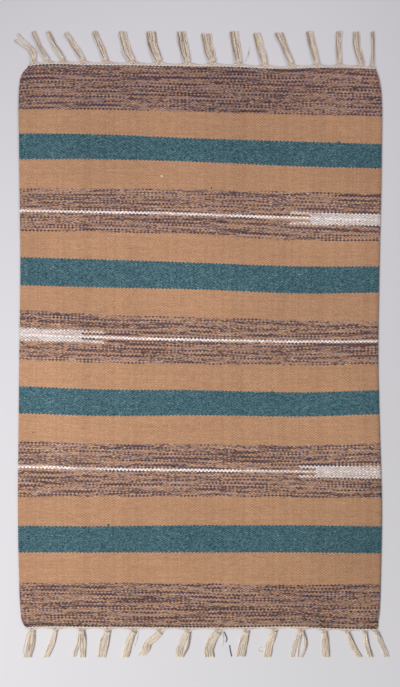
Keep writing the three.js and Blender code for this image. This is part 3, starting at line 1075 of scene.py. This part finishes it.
def cloth_material():
    """The cloth: each pick has its stripe's yarn, and shows as a row of small domed floats"""
    shader = Shader("field weave", 0.93, 0.05)
    at = floats(shader)
    centre = at.warp + 0.5
    is_melange, is_teal, is_tan, outermost = stripe_yarns(shader, at.pick)
    is_white, is_line = white_floats(shader, centre, at.pick)

    # Each pick is a few fine yarns side by side, and run is the way along them
    strand = at.along * (0.5 * PICK_YARNS) + 0.5 * PICK_YARNS
    strand_dome = shader.math("PINGPONG", shader.math("FRACT", strand), 0.5)
    strand = at.pick * PICK_YARNS + strand.floor()
    run = at.aside * 0.6 + centre
    own = shader.chance(strand, 1) * 1000
    whole_pick = shader.noise(run * PICK_RUNS[1], shader.chance(at.pick, 2) * 1000)
    single = shader.chance(at.warp, strand)
    shade = shader.chance((run * 0.37 + own).floor(), strand)

    # Melange: dark and light lengths of many shades
    runs = melange_runs(shader, at.pick, run, own, whole_pick, single)
    melange = shader.mix(
        shader.step(runs, MELANGE_EDGE - MELANGE_BLEND, MELANGE_EDGE + MELANGE_BLEND, 1, 0),
        shader.ramp(shade, LIGHT_SHADES, "CONSTANT"), shader.ramp(shade, DARK_SHADES, "CONSTANT"))
    end_tint = shader.mix(
        shader.step(at.pick, 0, PICKS, 1, 0), tone(LOWER_TINT), tone(UPPER_TINT))
    melange = shader.mix(0.12, melange, shader.mix(outermost, tone(MELANGE_TINT), end_tint))

    # Tan and teal: dyed in the yarn, a little uneven from length to length, teal with pale specks
    fleck = shader.chance((run * 2).floor(), strand + 5000)
    teal = shader.mix((fleck > 0.965) * 0.6, shader.ramp(fleck, TEAL_SHADES), tone(TEAL_SPECK))
    colour = shader.mix(is_teal, shader.ramp(shade, TAN_SHADES), teal)
    colour = shader.mix(is_melange, colour, melange)

    # White: brown shows between its floats, partly the yarn beneath and partly painted shade in the
    # dips, and in thin threads among them
    gap = shader.step(at.dome, 0.5, 0.74, 0.85, 0) * (is_line * -0.6 + 1)
    brown_thread = shader.step(runs, MELANGE_EDGE - 0.045, MELANGE_EDGE + 0.005, 0.6, 0)
    white = shader.mix(
        shader.math("MAXIMUM", gap, brown_thread), shader.ramp(shade, WHITE_SHADES), tone(WHITE_GAP_BROWN_AND_PAINTED_SHADE))
    x, y, _ = shader.parts(shader.node("TexCoord", {}, output="Object"))
    colour = marked(shader, shader.mix(is_white, colour, white), x, y)

    # Lightness: each float differs a little; the dips between the floats and the sides of each fine
    # yarn are darker, as painted shade; and the melange of the outermost stripes is darker too
    fibre = weft_fibres(shader, at)
    painted_dip_shade = shader.math("MAXIMUM", is_tan, is_white) * -0.26 + 0.58
    value = single * 0.16 + 0.92
    value *= whole_pick * 0.2 + 0.9
    value *= shader.chance(at.warp, 7) * 0.1 + 0.95
    value *= (at.dome - 0.72) * painted_dip_shade + 0.95
    value *= strand_dome * 0.3 + 0.9
    value *= shader.noise(x * 5, y * 4) * 0.3 + 0.85
    value *= fibre * 0.3 + 0.85
    value *= is_line * 0.24 + 1
    # The outermost melange is darker, the more so towards the upper end: that extra darkness at the
    # upper end is painted shade of the dimmer light there
    value *= 1 - shader.step(at.pick, 0, PICKS, 0.14, 0.06) * outermost * is_melange
    height = strand_dome * 0.5 + fibre * 0.3 + at.dome
    return shader.finish(colour, value, height, RELIEF_DEPTH)


def heading_material():
    """The heading's own white picks"""
    shader = Shader("heading picks", 0.93, 0.05)
    at = floats(shader)
    fibre = weft_fibres(shader, at)
    colour = shader.ramp(shader.chance(at.warp, at.pick), HEADING_SHADES)
    # The dips between the floats are darker: painted shade
    value = (at.dome * 0.35 + 0.7) * (fibre * 0.3 + 0.85)
    return shader.finish(colour, value, fibre * 0.3 + at.dome, RELIEF_DEPTH)


def yarn_material():
    """Loose warp yarn: each ply has its own shade, and browner lengths come and go along it"""
    shader = Shader("warp yarn", 0.9, 0.15)
    u, v, _ = shader.parts(shader.node("UVMap", {}, uv_map="weave"))
    strand = u.floor()
    fibre = fibres(shader, (u - strand) * 2.6, v)
    lengths = shader.noise(v * 0.05, strand * 4.37, 2)
    from_knots, from_brown_and_painted_shade, from_gathered, is_dark = (
        strand > 2 * first - 1
        for first in (KNOT_STRAND, BROWN_AND_PAINTED_SHADE_STRAND, GATHERED_STRAND, DARK_STRAND))
    colour = shader.ramp(shader.chance(strand, 3), YARN_SHADES)
    colour = shader.mix(shader.step(lengths, 0.52, 0.64) * 0.5, colour, tone(BROWN_LENGTH))
    colour = shader.mix(from_gathered * 0.3, colour, tone(GATHERED_TINT))
    colour = shader.mix(is_dark, colour, tone(DARK_THREAD))
    # Darker ends: painted shade along a tassel's shaded side, and brown yarn for the few ends inside
    colour = shader.mix((from_brown_and_painted_shade - from_gathered) * 0.6, colour, tone(BROWN_AND_PAINTED_SHADE_END))
    # The knots' cords are a tenth darker: painted shade
    value = (fibre * 0.5 + 0.75) * ((from_knots - from_brown_and_painted_shade) * -0.1 + 1)
    return shader.finish(colour, value, fibre, YARN_RELIEF_DEPTH)


def floor_material():
    shader = Shader("pale floor", 0.9, 0)
    x, y, _ = shader.parts(shader.node("TexCoord", {}, output="Object"))
    cloud = shader.noise(x, y)
    return shader.finish(shader.ramp(cloud, FLOOR_SHADES), 1, cloud, 0.0001)


# Light and camera

def add_lamp(light, place, aim):
    """Puts a light at a place, turned towards where it aims"""
    lamp = add_object(light.name, light)
    lamp.location = place
    lamp.rotation_euler = (Vector(aim) - Vector(place)).to_track_quat("-Z", "Y").to_euler()


def make_stage():
    size = FLOOR_HALF_SIZE
    corners = ((-size, -size), (size, -size), (size, size), (-size, size))
    mesh = bpy.data.meshes.new("floor")
    mesh.from_pydata([(x, y, -FLOOR_GAP) for x, y in corners], [], [(0, 1, 2, 3)])
    mesh.materials.append(floor_material())
    add_object("floor", mesh)

    world = bpy.data.worlds.new("soft room")
    world.use_nodes = True
    background = world.node_tree.nodes["Background"]
    background.inputs["Color"].default_value = (0.95, 0.95, 1, 1)
    background.inputs["Strength"].default_value = SKY
    bpy.context.scene.world = world
    light = bpy.data.lights.new("softbox", "AREA")
    light.shape = "SQUARE"
    light.size = SOFTBOX_SIZE
    light.energy = SOFTBOX_POWER
    add_lamp(light, SOFTBOX_PLACE, (0, 0, 0))
    for name, place, aim, cone, power, tint in LAMPS:
        light = bpy.data.lights.new(name, "SPOT")
        light.shadow_soft_size = LAMP_RADIUS
        light.spot_size = math.radians(cone)
        light.spot_blend = 1
        light.energy = power
        light.color = tint
        add_lamp(light, place, aim)


def make_camera():
    camera = bpy.data.cameras.new("camera")
    camera.lens = LENS
    camera.sensor_fit = "HORIZONTAL"
    camera.sensor_width = SENSOR_WIDTH
    camera.clip_start = 0.01
    camera.clip_end = 20
    holder = add_object("camera", camera)
    height = IMAGE_WIDTH * LENS / SENSOR_WIDTH + CLOTH_THICKNESS
    holder.location = Vector((IMAGE_MIDDLE[0] + SHIFT_X, IMAGE_MIDDLE[1] + SHIFT_Y, height)) * MM
    bpy.context.scene.camera = holder
    bpy.context.scene.view_settings.view_transform = "Standard"


make_camera()
make_stage()

yarn = yarn_material()
cloth = field_piece(cloth_material())
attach(cloth, "root")
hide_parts("field")
picks_finish = heading_material()
for end in (
        RugEnd("top", 1, UPPER_LINE, UPPER_TASSELS, TRIM_TOP),
        RugEnd("bottom", -1, LOWER_LINE, LOWER_TASSELS, TRIM_BOTTOM)):
    heading = heading_piece(end, picks_finish, yarn)
    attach(heading, "root")
    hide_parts("heading_" + end.name)
    for number in range(len(end.tassels)):
        tassel = tassel_piece(end, number, yarn)
        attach(tassel, "root")
        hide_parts("tassel_%s_%02d" % (end.name, number + 1))
